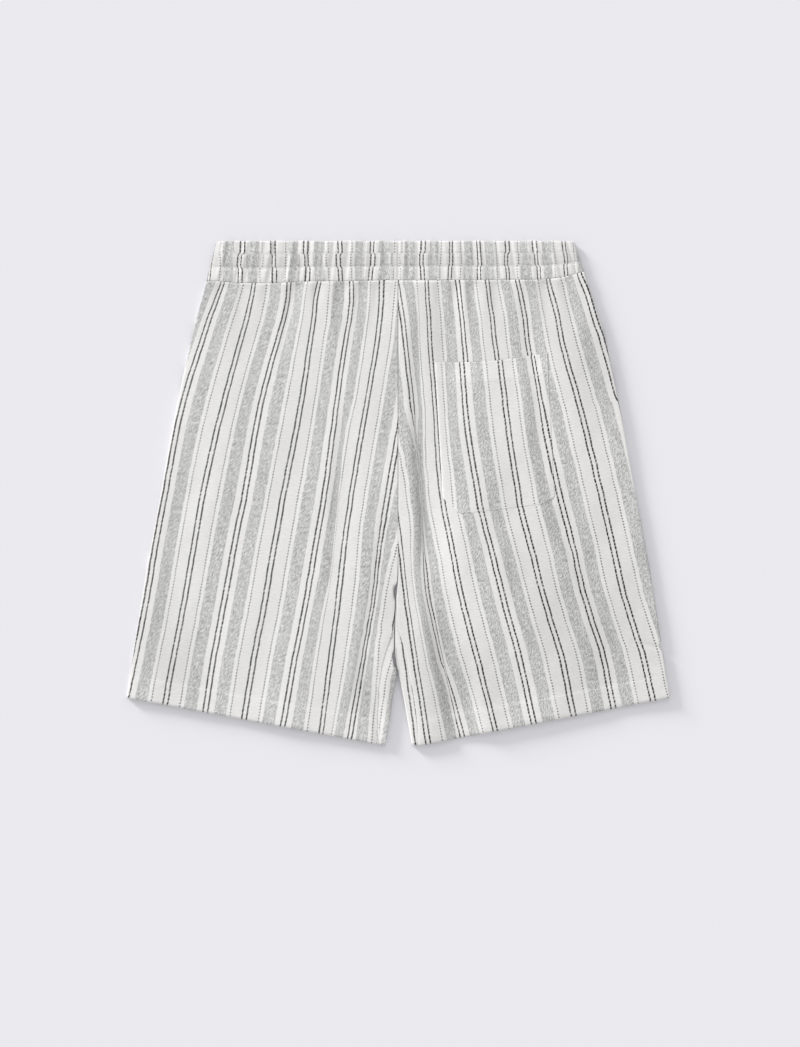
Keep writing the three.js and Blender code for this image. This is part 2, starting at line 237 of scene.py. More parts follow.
def bump(distance, left, right):
    """1 on the line, falling smoothly to 0 at a half width on each side."""
    share = np.abs(distance) / np.where(distance < 0, left, right)
    return np.where(share < 1, np.cos(np.pi * np.minimum(share, 1) / 2) ** 2, 0)


def lay_height(x, y):
    """How high the back panels' cloth lies over a point of the table."""
    z = np.full_like(x, BACK_TOP_Z)
    for fold in FOLDS:
        line, strength = fold_line(fold, y)
        z += fold["rise"] * strength * bump(x - line, fold["left"], fold["right"])
    below = WAIST_SEAM_Y["side"] - y
    z += WAIST_SWELL["rise"] * np.exp(-np.maximum(below, 0) / WAIST_SWELL["reach"])
    for gather in GATHERS:
        line = gather["at"] + gather["lean"] * below / gather["reach"]
        strength = 1 - smoothstep(below, 0, gather["reach"])
        z -= gather["depth"] * strength * bump(x - line, gather["half"], 1.9 * gather["half"])
    for crease in SIDE_CREASES:
        share = (x - crease["x0"]) / (crease["x1"] - crease["x0"])
        line = lerp(crease["y0"], crease["y1"], share)
        z += crease["rise"] * smoothstep(share, 0, 0.6) * bump(y - line, crease["half"], crease["half"])
    for wave in CRUMPLE:
        z += wave["rise"] * np.sin(2 * np.pi * (x / wave["across"] + y / wave["along"]) + wave["phase"])
    # a soft limit keeps the deepest folds off the front panels
    softness = 0.3
    return LOWEST_BACK_Z + softness * np.log1p(np.exp((z - LOWEST_BACK_Z) / softness))


print("folds:", len(FOLDS), "gathers:", len(GATHERS))

# %% [markdown]
# ## Lighter cloth, and painted shade
#
# Cloth looks a little lighter where it lies double, as in the hems and along the waistband's
# outer channels. Shade is painted into its colour too: towards the lower right, along the
# hollows of some long folds and inside the two slits. A few soft spots say where, and a fold
# with a "dim" value has painted shade along its line.

# %% Soft spots of painted shade
PAINTED_SHADE_SPOTS = table(
    # middle and half widths of a soft spot, and how much lighter it leaves the cloth; below zero, as here,
    # it is painted shade
    "x y across along lighter",
    (230, -150, 120, 210, -0.12), (44, -190, 28, 150, -0.2), (90, -205, 40, 80, -0.1),
    (180, 70, 60, 170, -0.06), (212, 150, 45, 120, -0.11), (97, 190, 34, 60, -0.06),
    (43, 90, 20, 150, -0.11), (95, 10, 40, 90, -0.08), (172, 0, 30, 80, -0.09),
    (118, -80, 24, 50, -0.1), (-8, -130, 26, 120, -0.11), (-36, -215, 20, 60, -0.18),
    (-8, -210, 18, 50, -0.15), (-212, -205, 25, 40, -0.06), (168, 180, 26, 60, -0.11),
    (42, 165, 20, 75, -0.12), (68, -190, 20, 90, -0.16), (165, -135, 115, 170, -0.075),
    (-270, -20, 40, 180, -0.06), (-235, -170, 60, 90, -0.09), (-190, 190, 60, 60, -0.045),
    (-58, 190, 18, 50, -0.09),
    # painted shadow in the dark inside of the two slits
    (-3.8, -104, 2.4, 12, -0.95), (-3.8, -177, 2.4, 12, -0.95),
)


def painted_shade_tone(x, y):
    # painted shade: the soft spots, and the creases that carry dim
    tone = np.zeros_like(x)
    for spot in PAINTED_SHADE_SPOTS:
        reach = np.hypot((x - spot["x"]) / spot["across"], (y - spot["y"]) / spot["along"])
        tone += spot["lighter"] * (1 - smoothstep(reach, 0, 1))
    for fold in FOLDS:
        # painted shade along a sharp crease
        if "dim" in fold:  # a sharp crease, with a soft shade on both sides
            line, strength = fold_line(fold, y)
            tone -= fold["dim"] * strength * bump(x - line, 12, 11)
    return tone


print("tone spots:", len(PAINTED_SHADE_SPOTS))

# %% [markdown]
# ## Where the stripes run
#
# The cloth's stripes repeat every two pairs of dark lines, and the cloth is the same on both
# sides of each pair. They were straight when the cloth was flat, so a point's place in the
# pattern is its distance across the cloth. On the shorts the pairs fan out down the legs and
# crowd together at the waist, so a table says where each pair crosses a few heights. Between
# two pairs the cloth's width is shared out by the distance over the folds, hidden tucks too. A
# tuck that lies along a pair has to follow that pair exactly, or its lines would come out jagged.

# %% Guides for the stripes
HALF_REPEAT = 42.4  # from one pair of lines to the next, across the cloth
GUIDE_Y = np.array([-219.4, -166.4, -138, -107.1, -60.4, -5.3, 96.5, 162.2, 188.7, 204.6, 220.5])
PANEL_GUIDES = {
    # leg, then pair number: x at each of those heights, from the hem up to the waist. The outer
    # pairs lie beyond the panel's edges, or are hidden in a fold
    -1: {
        0: (-330.4, -319, -313.4, -307.8, -299, -288.4, -266, -242, -231, -226, -221),
        1: (-288.1, -276.7, -271, -265.3, -257.6, -247.3, -227.5, -207.4, -199, -192.9, -186.8),
        2: (-246.1, -236.4, -230.8, -225.1, -217.2, -207.6, -184.3, -166.4, -159.1, -155.5, -152.4),
        3: (-202.4, -194.1, -188.5, -182.8, -174.3, -163.1, -144.9, -127.6, -120.1, -117.1, -116.2),
        4: (-159.9, -151.2, -145.5, -139.8, -132.2, -122.2, -102.4, -92.7, -88.9, -87.5, -84.1),
        5: (-117.3, -107.6, -101.8, -96, -88, -78.5, -64.9, -55.4, -50.9, -49.2, -49.6),
        6: (-77, -70.5, -66.8, -63, -57.9, -50.2, -33.3, -22.5, -19.4, -18.2, -17.3),
        7: (-44.9, -35.6, -30.6, -25.5, -20.6, -11.9, 5.4, 15.2, 18, 19.3, 20.5),
        9: (11.5, 22.2, 35.4, 41.5, 62, 73, 90, 98, 100, 102, 103),
    },
    1: {
        -1: (-17.4, -25.5, -30, -34.4, -39.5, -47.4, -68, -74, -76, -78, -80),
        0: (25, 17.1, 12.9, 8.6, 3.1, -5, -26, -32, -34.5, -36, -38),
        1: (58.1, 44.2, 37.6, 31, 27, 24.5, 14.9, 7.4, 4.5, 2.4, -0.2),
        2: (94.6, 81.5, 73.8, 66.2, 57.3, 46.8, 38.4, 33.3, 32.2, 31.1, 30.4),
        3: (138.1, 126.2, 118.3, 110.5, 98.5, 84.6, 75.2, 69.6, 66.9, 64.6, 62.8),
        4: (182.3, 171.1, 162.2, 153.2, 141.1, 127.3, 112.5, 101.8, 99.3, 96.7, 94.3),
        5: (226.1, 215.5, 206, 196.5, 186, 171.8, 149.4, 136.5, 133.5, 130.6, 127.3),
        6: (269.4, 257.1, 247.8, 238.5, 228, 215.4, 190.9, 172.7, 167.8, 164.2, 160.6),
        7: (312.5, 299, 291, 283.4, 272, 259.2, 233.5, 215.6, 206.6, 201.8, 196.4),
        8: (356, 341, 334, 328, 316, 303, 276, 257, 247, 240, 233),
    },
}


TUCKS_AT_PAIRS = table(
    "name hand pair beside between left right rise tuck fade dim",
    # the last column, dim, is painted shade along the tuck's line
    ("centre tuck", 1, 1, 0.0, (-85, 95), 6, 8, -0.8, 18.6, 0.35, 0.2),
    ("left thigh crease", -1, 7, 0.0, (-230, -10), 6, 6, -0.2, 2.2, 0.3, 0.0),
    ("beside the crease", -1, 7, -5.5, (-260, -30), 6, 6, -0.1, 4, 0.3, 0.0),
)
for tuck in TUCKS_AT_PAIRS:
    pair_x = np.array(PANEL_GUIDES[tuck["hand"]][tuck["pair"]]) + tuck["beside"]
    FOLDS.append(dict(tuck, path=list(zip(pair_x, GUIDE_Y))))


def across_pattern(guide_y, guides, x, y, arc):
    """Each point's place across the pattern, in half repeats, from where the pairs cross."""
    place = np.empty_like(x)
    beyond = 300.0  # guides may also run outside the piece, as if its cloth went on
    for row in range(len(x)):
        arc_row = np.concatenate([[arc[row][0] - beyond], arc[row], [arc[row][-1] + beyond]])
        crossings = []
        for guide_x in guides.values():
            past = x[row] - smooth_curve(guide_y, guide_x, y[row])
            past = np.concatenate([[past[0] - beyond], past, [past[-1] + beyond]])
            crossings.append(np.interp(0, past, arc_row))
        place[row] = np.interp(arc[row], crossings, list(guides))
    return place


def arc_length(x, y, z):
    """Distance across the cloth along each row, with the cloth that the folds hide."""
    hidden = np.zeros_like(x)
    for fold in FOLDS:
        line, strength = fold_line(fold, y)
        hidden += fold["tuck"] * strength * smoothstep(x - line, -1.5, 1.5)
    steps = np.hypot(np.diff(x, axis=1), np.diff(z, axis=1)) + np.diff(hidden, axis=1)
    return np.concatenate([np.zeros((len(x), 1)), np.cumsum(steps, axis=1)], axis=1)


print("striped pairs:", sum(len(guides) for guides in PANEL_GUIDES.values()))

# %% [markdown]
# ## The finish: striped cloth
#
# The cloth is a plain weave of off-white cotton with lengthways stripes: pairs of dark twisted
# yarns, single dotted yarns, and wide bands of grey and white yarns spun together. An image
# would do it, but a node pattern stays sharp at any distance. It reads the piece's own UV map,
# where U counts half repeats across the cloth and V runs along it on the same scale. A
# ping-pong of U folds the pattern about each pair, because the cloth is mirrored there.


# %% Node helpers
class Nodes:
    """Adds nodes to a material in a compact way."""

    def __init__(self, name):
        self.material = bpy.data.materials.new(name)
        self.material.use_nodes = True
        self.tree = self.material.node_tree
        self.shader = self.tree.nodes["Principled BSDF"]

    def add(self, kind, inputs=(), **settings):
        node = self.tree.nodes.new(kind)
        for key, value in settings.items():
            setattr(node, key, value)
        for socket, value in dict(inputs).items():
            self.set(node.inputs[socket], value)
        return node

    def set(self, socket, value):
        if isinstance(value, bpy.types.NodeSocket):
            self.tree.links.new(value, socket)
        else:
            socket.default_value = value

    def math(self, operation, a, b=0.0):
        return self.add("ShaderNodeMath", {0: a, 1: b}, operation=operation).outputs[0]

    def plus(self, a, b):
        return self.math("ADD", a, b)

    def minus(self, a, b):
        return self.math("SUBTRACT", a, b)

    def times(self, a, b):
        return self.math("MULTIPLY", a, b)

    def remap(self, value, low, high, to_low=0.0, to_high=1.0):
        sockets = {"Value": value, "From Min": low, "From Max": high, "To Min": to_low, "To Max": to_high}
        return self.add("ShaderNodeMapRange", sockets).outputs["Result"]

    def stripe(self, place, centre, half, soft):
        """1 inside a stripe, 0 outside it, with a soft edge."""
        distance = self.math("ABSOLUTE", self.minus(place, centre))
        return self.remap(distance, half - soft, half + soft, 1, 0)

    def mix(self, share, a, b):
        node = self.tree.nodes.new("ShaderNodeMix")
        node.data_type = "RGBA"
        for socket, value in ((0, share), (6, a), (7, b)):
            self.set(node.inputs[socket], value)
        return node.outputs[2]

    def finish(self, values):
        """Set the shader's own sockets, and hand over the material."""
        for socket, value in values.items():
            self.set(self.shader.inputs[socket], value)
        return self.material


def srgb(r, g, b):
    """A linear colour from the 0 to 255 values that a screen shows."""
    return tuple(((v / 255 + 0.055) / 1.055) ** 2.4 if v > 10 else v / 3294.6 for v in (r, g, b)) + (1.0,)


print("node helpers are ready")

# %% [markdown]
# From an even pair, the pattern runs: white between the two dark lines, a dark line, plain
# off-white, a dotted yarn, a brighter white strip, the grey band, another bright strip, and the
# next, odd pair. The dark yarns are twisted from a light and a dark one, so along V they break
# into dashes, unevenly. The grey band is streaked along the cloth, with a few dark slubs.

# %% The striped cloth material
PATTERN = {
    # distances from an even pair, in millimetres across the cloth
    "line": 2.5, "line_half": 0.9, "dots": 15.4, "dots_half": 0.68,
    "band_from": 19.8, "band_to": 33.1, "bright_from": 16.4,
}
GROUND = srgb(228, 227, 225)
BRIGHT = srgb(234, 233, 231)
GREY_LIGHT = srgb(225, 225, 223)
GREY_DARK = srgb(158, 158, 158)
SLUB = srgb(60, 60, 62)
LINE_DARK = srgb(24, 24, 26)
LINE_LIGHT = srgb(205, 203, 200)
DOT_COLOUR = srgb(20, 19, 19)


def striped_cloth():
    cloth = Nodes("striped_cloth")
    uv = cloth.add("ShaderNodeUVMap", uv_map="Cloth").outputs[0]
    split = cloth.add("ShaderNodeSeparateXYZ", {0: uv})
    across_mm = cloth.times(split.outputs[0], HALF_REPEAT)
    along_mm = cloth.times(split.outputs[1], HALF_REPEAT)
    grain = cloth.add("ShaderNodeCombineXYZ", {0: across_mm, 1: along_mm})

    def noise(scale_across, scale_along, detail=2.0, shift=0.0):
        scale = (scale_across, scale_along, 1)
        stretch = {"Vector": grain.outputs[0], "Location": (shift, shift, 0), "Scale": scale}
        stretched = cloth.add("ShaderNodeMapping", stretch).outputs[0]
        speckle = {"Vector": stretched, "Scale": 1, "Detail": detail}
        return cloth.add("ShaderNodeTexNoise", speckle).outputs["Fac"]

    # yarns wander a little from side to side
    wander = cloth.times(cloth.minus(noise(0.02, 0.06), 0.5), 1.6)
    shifted = cloth.plus(across_mm, wander)
    place = cloth.math("PINGPONG", shifted, HALF_REPEAT)

    # tones of the ground
    bright = cloth.remap(place, PATTERN["bright_from"] - 0.3, PATTERN["bright_from"] + 0.3)
    ground = cloth.mix(bright, GROUND, BRIGHT)

    # the grey band: slanting streaks of light and dark fibres, and a few dark slubs
    slanted = cloth.plus(across_mm, cloth.times(along_mm, 0.55))
    slanted_grain = cloth.add("ShaderNodeCombineXYZ", {0: slanted, 1: along_mm})
    stretch = {"Vector": slanted_grain.outputs[0], "Scale": (1.0, 0.24, 1)}
    stretched = cloth.add("ShaderNodeMapping", stretch).outputs[0]
    streaks = cloth.add("ShaderNodeTexNoise", {"Vector": stretched, "Scale": 1, "Detail": 2.5})
    flecks = noise(0.7, 0.62, 1.5, 7.0)
    drifts = noise(0.12, 0.025, 2.0, 17.0)
    mixed = cloth.times(streaks.outputs["Fac"], 0.62)
    mixed = cloth.plus(mixed, cloth.times(flecks, 0.38))
    mixed = cloth.plus(mixed, cloth.times(cloth.minus(drifts, 0.5), 0.12))
    grey = cloth.mix(cloth.remap(mixed, 0.38, 0.6), GREY_DARK, GREY_LIGHT)
    slubs = cloth.remap(noise(0.55, 0.38, 1.0, 31.0), 0.735, 0.78)
    grey = cloth.mix(cloth.times(slubs, 0.75), grey, SLUB)
    band_middle = (PATTERN["band_from"] + PATTERN["band_to"]) / 2
    band_half = (PATTERN["band_to"] - PATTERN["band_from"]) / 2
    ragged = cloth.plus(place, cloth.times(cloth.minus(noise(0.1, 1.1), 0.5), 1.1))
    band = cloth.stripe(ragged, band_middle, band_half, 0.4)
    colour = cloth.mix(band, ground, grey)

    # dotted yarn: short dark floats at an even pitch
    dot_wave = cloth.math("PINGPONG", along_mm, 1.5)
    on_dot = cloth.remap(dot_wave, 0.68, 0.84)
    dots = cloth.times(cloth.stripe(place, PATTERN["dots"], PATTERN["dots_half"], 0.2), on_dot)
    fading = cloth.remap(noise(0.02, 0.05, 1.0, 23.0), 0.35, 0.6, 0.55, 0.85)
    colour = cloth.mix(cloth.times(dots, fading), colour, DOT_COLOUR)

    # pairs of dark lines, in slanting dashes that come and go
    from_pair = cloth.math("MINIMUM", place, cloth.minus(HALF_REPEAT, place))
    jitter = cloth.times(noise(0.22, 0.22, 1.0, 41.0), 7.0)
    slant = cloth.plus(cloth.plus(along_mm, jitter), cloth.times(shifted, 0.8))
    gap = cloth.remap(cloth.math("PINGPONG", slant, 2.0), 0.95, 1.6)
    broken = cloth.remap(noise(0.05, 0.06, 2.0, 13.0), 0.36, 0.6, 0.3, 0.78)
    light_gap = cloth.times(gap, broken)
    line_place = cloth.math("ABSOLUTE", cloth.minus(from_pair, PATTERN["line"]))
    line_place = cloth.plus(line_place, cloth.times(light_gap, 0.3))
    line = cloth.remap(line_place, PATTERN["line_half"] - 0.3, PATTERN["line_half"] + 0.3, 1.0, 0.0)
    colour = cloth.mix(line, colour, cloth.mix(light_gap, LINE_DARK, LINE_LIGHT))

    # plain weave: fine threads both ways, seen close up
    weft = cloth.add("ShaderNodeTexWave", {"Vector": grain.outputs[0], "Scale": 0.42, "Distortion": 1.2,
                                           "Detail": 1.0}, bands_direction="Y")
    warp = cloth.add("ShaderNodeTexWave", {"Vector": grain.outputs[0], "Scale": 0.5, "Distortion": 1.2,
                                           "Detail": 1.0}, bands_direction="X")
    weave = cloth.plus(weft.outputs["Fac"], warp.outputs["Fac"])
    uneven = noise(0.16, 0.7, 2.0, 3.0)
    weave_height = cloth.plus(weave, cloth.times(uneven, 1.4))
    # ToneAndPaintedShade: doubled cloth a little lighter, and painted shade, both as a change of brightness
    tone = cloth.add("ShaderNodeAttribute", attribute_name="ToneAndPaintedShade").outputs["Fac"]
    threads = cloth.remap(weave_height, 0.5, 2.6, -0.01, 0.01)
    patches = cloth.remap(uneven, 0.3, 0.7, -0.05, 0.04)
    shade = cloth.plus(cloth.plus(cloth.plus(threads, patches), tone), 1.0)
    shaded = cloth.add("ShaderNodeVectorMath", {0: colour}, operation="SCALE")
    cloth.set(shaded.inputs["Scale"], shade)
    relief = cloth.add("ShaderNodeBump", {"Strength": 0.12, "Distance": 0.0002, "Height": weave_height})
    return cloth.finish({
        "Base Color": shaded.outputs[0], "Normal": relief.outputs[0], "Roughness": 0.92,
        "Specular IOR Level": 0.25, "Sheen Weight": 0.12, "Sheen Roughness": 0.6,
    })


STRIPED_CLOTH = striped_cloth()
print("material:", STRIPED_CLOTH.name)

# %% [markdown]
# ## A piece of cloth
#
# Every piece starts as a flat grid from create_grid, as fine as its smallest fold needs. A
# function then says where each grid point goes, and which part of the cloth it is. The wall's
# thickness comes last, from a Solidify modifier that grows inwards.


# %% Making a piece of cloth
def add_object(name, data):
    thing = bpy.data.objects.new(name, data)
    bpy.context.scene.collection.objects.link(thing)
    return thing


def cloth_piece(name, columns, rows, place, thickness=CLOTH_THICKNESS, faces_up=True, closed=False):
    """A grid of cloth. place(across, down) gives x, y, z, U, V and the tone, which holds painted shade too.
    """
    across, down = np.meshgrid(np.linspace(0, 1, columns + 1), np.linspace(0, 1, rows + 1))
    x, y, z, u, v, tone = place(across, down)
    bm = bmesh.new()
    bmesh.ops.create_grid(bm, x_segments=columns, y_segments=rows, size=0.5)
    cloth_uv = bm.loops.layers.uv.new("Cloth")
    tone_and_shade_layer = bm.verts.layers.float.new("ToneAndPaintedShade")
    spot = {}
    for vert in bm.verts:
        at = (round((0.5 - vert.co.y) * rows), round((vert.co.x + 0.5) * columns))
        spot[vert] = at
        vert.co = Vector((x[at], y[at], z[at])) * MM
        vert[tone_and_shade_layer] = tone[at]
    for face in bm.faces:
        for loop in face.loops:
            at = spot[loop.vert]
            loop[cloth_uv].uv = (u[at], v[at])
    if closed:
        bmesh.ops.remove_doubles(bm, verts=bm.verts, dist=0.005 * MM)
        bmesh.ops.recalc_face_normals(bm, faces=bm.faces)
    return finish_cloth(name, bm, thickness, faces_up, closed)


def finish_cloth(name, bm, thickness, faces_up, closed):
    bm.normal_update()
    area = sum(face.calc_area() for face in bm.faces)
    if not closed and (sum(face.normal.z * face.calc_area() for face in bm.faces) > 0) != faces_up:
        bmesh.ops.reverse_faces(bm, faces=bm.faces)
    for face in bm.faces:
        face.smooth = True
    mesh = bpy.data.meshes.new(name)
    bm.to_mesh(mesh)
    bm.free()
    mesh.materials.append(STRIPED_CLOTH)
    piece = add_object(name, mesh)
    if thickness:
        wall = piece.modifiers.new("Wall", "SOLIDIFY")
        wall.thickness = thickness * MM
        wall.offset = -1
    print(f"{name}: {len(mesh.polygons)} faces, {area:.4f} m2 of cloth")
    return piece


# %% [markdown]
# ## Back panels
#
# Each back panel runs from its side seam, where the cloth rolls down to meet the front panel,
# to the centre back seam and the inside of the leg. Along the hem the cloth is turned up
# 25 mm and stitched, so that band is a little thicker and lighter, with a shallow ditch along
# the stitching. The seams pull the cloth down into narrow ditches too.

# %% The back panels
HEM_DEPTH = 25.0
ROLL_SHARE = 0.03  # the share of a panel's columns that each rolled edge gets
POCKET_MOUTH = ((38.5, 139.2), (158.6, 148.9))  # its left and right corners
POCKET_SIDE_END = ((47.1, -4.8), (166.2, -3.2))  # where the left and right sides end
POCKET_MOUTH_Y = 141
POCKET_WIDTH, POCKET_SIDE = 119, 150  # mean width and length of a side, to turn shares into millimetres


def gathered_shift(x, below):
    """How far the gathers push the stripes sideways, just below the waistband."""
    wave = np.sin(x / 7.5 + 2.1 * np.sin(x / 29) + below / 26) + 0.6 * np.sin(x / 4.1 + below / 18)
    return 0.9 * wave * np.exp(-np.maximum(below, 0) / 32)


def hem_distance(x, y):
    """Distance from the hem's edge, up the leg."""
    out = np.abs(x) / level("side", 1.0)
    slope = math.hypot(1, (HEM_Y["side"] - HEM_Y["centre"]) / level("side", 1.0))
    return (y - lerp(HEM_Y["centre"], HEM_Y["side"], out)) / slope


def hem_relief(x, y):
    distance = hem_distance(x, y)
    turned = 1 - smoothstep(distance, HEM_DEPTH - 1.2, HEM_DEPTH + 1.2)
    pucker = np.sin(2 * np.pi * x / 7.3 + 1.5 * np.sin(x / 19)) * 0.5 + 0.5 * np.sin(2 * np.pi * x / 4.1)
    ditch = np.exp(-((distance - HEM_DEPTH + 1.5) / 1.3) ** 2)
    edge = np.exp(-np.maximum(distance, 0) / 0.7)
    return 0.35 * turned - (0.3 + 0.1 * pucker) * ditch - 0.5 * edge, turned


def pocket_bed(x, y):
    """How far the pocket presses the right back panel down, so that its edges lie almost flush."""
    down = (POCKET_MOUTH_Y - y) / POCKET_SIDE
    left, right = (lerp(mouth[0], end[0], down) for mouth, end in zip(POCKET_MOUTH, POCKET_SIDE_END))
    inside = smoothstep(x - left, 0.2, 2.2) * smoothstep(right - x, 0.2, 2.2)
    return 0.55 * inside * smoothstep(y, -12, -9) * (1 - smoothstep(y, 134, 138))


def back_panel(hand):
    def place(across, down):
        from_side = across if hand < 0 else 1 - across
        side = side_edge(hand, down)
        wrap = np.maximum(level("wrap", down), 0) if hand > 0 else np.zeros_like(down)
        inner = inner_edge(hand, down) + SEAM_GAP / 2 + wrap
        at_side = from_side < ROLL_SHARE
        side_angle = np.clip(from_side / ROLL_SHARE, 0, 1) * math.pi / 2
        inner_angle = np.clip((1 - from_side) / ROLL_SHARE, 0, 1) * math.pi / 2
        share = np.clip((from_side - ROLL_SHARE) / (1 - 2 * ROLL_SHARE), 0, 1)
        flat = lerp(side - EDGE_ROLL, inner + EDGE_ROLL, share)
        distance = flat + EDGE_ROLL * (np.cos(side_angle) - np.cos(inner_angle))
        x = hand * distance
        y = panel_y(hand, (distance - inner) / (side - inner), down)
        leg = smoothstep(down, 0.66, 0.69)
        sink = lerp(0.22, 1, leg) * (1 - smoothstep(wrap, 0, 3)) + 0.16 * smoothstep(wrap, 0, 3)
        risen = np.where(at_side, np.sin(side_angle), 1 - sink * (1 - np.sin(inner_angle)))
        relief, turned = hem_relief(x, y)
        top = lay_height(x, y) + relief - pocket_bed(x, y)
        top = lerp(top, WAIST_SEAM_Z, np.exp(-down * 490 / 2.5))
        base = SEAM_Z + SEAM_GAP / 2
        z = lerp(np.full_like(top, base), top, risen)
        u = across_pattern(GUIDE_Y, PANEL_GUIDES[hand], x, y, arc_length(x, y, z))
        u = u + gathered_shift(x, WAIST_SEAM_Y["side"] - y) / HALF_REPEAT
        v = (WAIST_SEAM_Y["side"] - y) / HALF_REPEAT * (0.93 if hand < 0 else 1.0) + 20 * (hand > 0)
        # tone: the turned hem a little lighter, painted shade from the soft spots, and painted shade along
        # the rolled side edge
        tone = 0.025 * turned + painted_shade_tone(x, y) - 0.3 * (1 - smoothstep(from_side, 0, ROLL_SHARE))
        return x, y, z, u, v, tone

    name = "back_left_cloth" if hand < 0 else "back_right_cloth"
    return cloth_piece(name, columns=128, rows=226, place=place)


BACK_LEFT = back_panel(-1)
BACK_RIGHT = back_panel(1)

# %% [markdown]
# ## Front panels
#
# The front panels lie underneath, flat on the table, and only their edges curl up to the seams.
# On the right leg the front panel's edge comes round the fold and over the top, down to the
# seam that lies just in from the edge. Their stripes run straight down, evenly spaced.

# %% The front panels
FRONT_ROLL_SHARE = 0.06
FRONT_WRAP_SHARE = 0.2
FRONT_COLUMNS = 100
FRONT_EDGE_GUIDE = ((-267.0, -163.8, -110.0, 0.0, 224.0), (21.1, 7.4, 0.3, 13.5, 40.4))  # y, x of a pair


def front_panel(hand):
    wrap_share = FRONT_WRAP_SHARE if hand > 0 else FRONT_ROLL_SHARE

    def place(across, down):
        from_side = across if hand < 0 else 1 - across
        side, inner = side_edge(hand, down), inner_edge(hand, down) + SEAM_GAP / 2
        wrap = np.maximum(level("wrap", down), 0) if hand > 0 else np.zeros_like(down)
        leg = smoothstep(down, 0.6, 0.69)
        side_angle = np.clip(from_side / FRONT_ROLL_SHARE, 0, 1) * math.pi / 2
        share = np.clip((from_side - FRONT_ROLL_SHARE) / (1 - FRONT_ROLL_SHARE - wrap_share), 0, 1)
        # the curl at the inner edge: a quarter turn up, a quarter turn over, then along the top
        turn_over = np.arccos(1 - np.minimum(wrap, EDGE_ROLL) / EDGE_ROLL) / (math.pi / 2)
        curl = 1 + turn_over + np.maximum(wrap - EDGE_ROLL, 0) / EDGE_ROLL
        curled = np.clip((from_side - 1 + wrap_share) / wrap_share, 0, 1) * curl
        up = np.clip(curled, 0, 1) * math.pi / 2
        over = np.clip(curled - 1, 0, 1) * math.pi / 2
        along_top = np.maximum(curled - 2, 0) * EDGE_ROLL
        inwards = lerp(curled.clip(0, 1), np.sin(up), leg)
        flat = lerp(side - EDGE_ROLL, inner + EDGE_ROLL, share)
        distance = flat + EDGE_ROLL * (np.cos(side_angle) - inwards + 1 - np.cos(over)) + along_top
        x = hand * distance
        y = panel_y(hand, (distance - inner) / (side - inner), down)
        relief, turned = hem_relief(x, y)
        ditch = 0.5 * np.exp(-np.abs(curl - curled) * EDGE_ROLL / 1.2)
        rise = np.maximum(1 - np.sin(side_angle), (1 - np.cos(up)) * leg)
        z = lerp((SEAM_Z - SEAM_GAP / 2) * rise, lay_height(x, y) + relief - ditch, np.sin(over) * leg)
        # the stripes are counted from the inner end, and go on round the curl
        steps = np.hypot(np.diff(x, axis=1), np.diff(z, axis=1))
        arc = np.concatenate([np.zeros((len(x), 1)), np.cumsum(steps, axis=1)], axis=1)
        from_end = arc if hand > 0 else arc[:, -1:] - arc
        end = distance[:, :1] if hand > 0 else distance[:, -1:]
        u = 21 + (from_end - end + smooth_curve(*FRONT_EDGE_GUIDE, y)) / HALF_REPEAT
        v = (WAIST_SEAM_Y["side"] - y) / HALF_REPEAT + 40 + 20 * (hand > 0)
        # tone: the turned hem a little lighter, plus painted shade from the soft spots
        return x, y, z, u, v, 0.02 * turned + painted_shade_tone(x, y)

    name = "front_left_cloth" if hand < 0 else "front_right_cloth"
    return cloth_piece(name, columns=FRONT_COLUMNS, rows=160, place=place, faces_up=False)


FRONT_LEFT = front_panel(-1)
FRONT_RIGHT = front_panel(1)

# %% [markdown]
# ## The waistband
#
# The waistband is one strip of cloth, folded lengthways over a wide elastic and stitched
# through in two rows, which leaves three puffed channels. The relaxed elastic gathers the cloth
# into narrow, uneven ripples. Here a closed section, the outer face, the rounded top edge and
# the plain inner face, goes round the waist as a grid, and its two ends are merged.

# %% The waistband
BAND_TOP_Z = 7.0
BAND_THICKNESS = 2.6
BAND_ROLL = 6.0
BAND_EDGE_Y = 267.0
BAND_HALF = {"left": (203.3, 193.0), "right": (197.2, 187.2)}  # at the seam and at the top
STITCH_ROWS = (0.365, 0.7)  # shares of the way up the waistband
BAND_GATHERS = table(
    # gathers across the back: how many, phase, height
    "count phase rise",
    (30, 0.3, 0.34), (47, 1.9, 0.2), (71, 4.0, 0.12),
)
BAND_GUIDES = {
    # pair number: x near the waist seam and near the top edge
    "left": {0: (-201, -200), 1: (-169, -165), 2: (-131.7, -131.9), 3: (-96.4, -96.4), 4: (-62, -63),
             5: (-28.4, -27.0), 6: (6.5, 8.5)},
    "right": {0: (-10, -10), 1: (24.4, 26), 2: (55.3, 55.6), 3: (87, 84.8), 4: (114.7, 114.2),
              5: (149, 144.4), 6: (178.4, 175.7), 7: (203, 200)},
}
BAND_TURN = 20  # half repeats of the pattern between the two sides of the centre back seam
RING = {"back": 180, "fold": 10, "front": 60}  # columns round the waist, half of the back first
SECTION = {"outer": 30, "edge": 6, "inner": 8}  # rows round the strip's section


def band_pattern(x, up, side):
    pairs = list(BAND_GUIDES[side].items())
    place = np.zeros_like(x)
    for index in range(len(pairs) - 1):
        number, (low, high) = pairs[index]
        _, (next_low, next_high) = pairs[index + 1]
        start, end = lerp(low, high, up), lerp(next_low, next_high, up)
        share = (x - start) / (end - start)
        first, last = index == 0, index == len(pairs) - 2
        inside = ((share >= 0) | first) & ((share < 1) | last)
        place = np.where(inside, number + share, place)
    return place


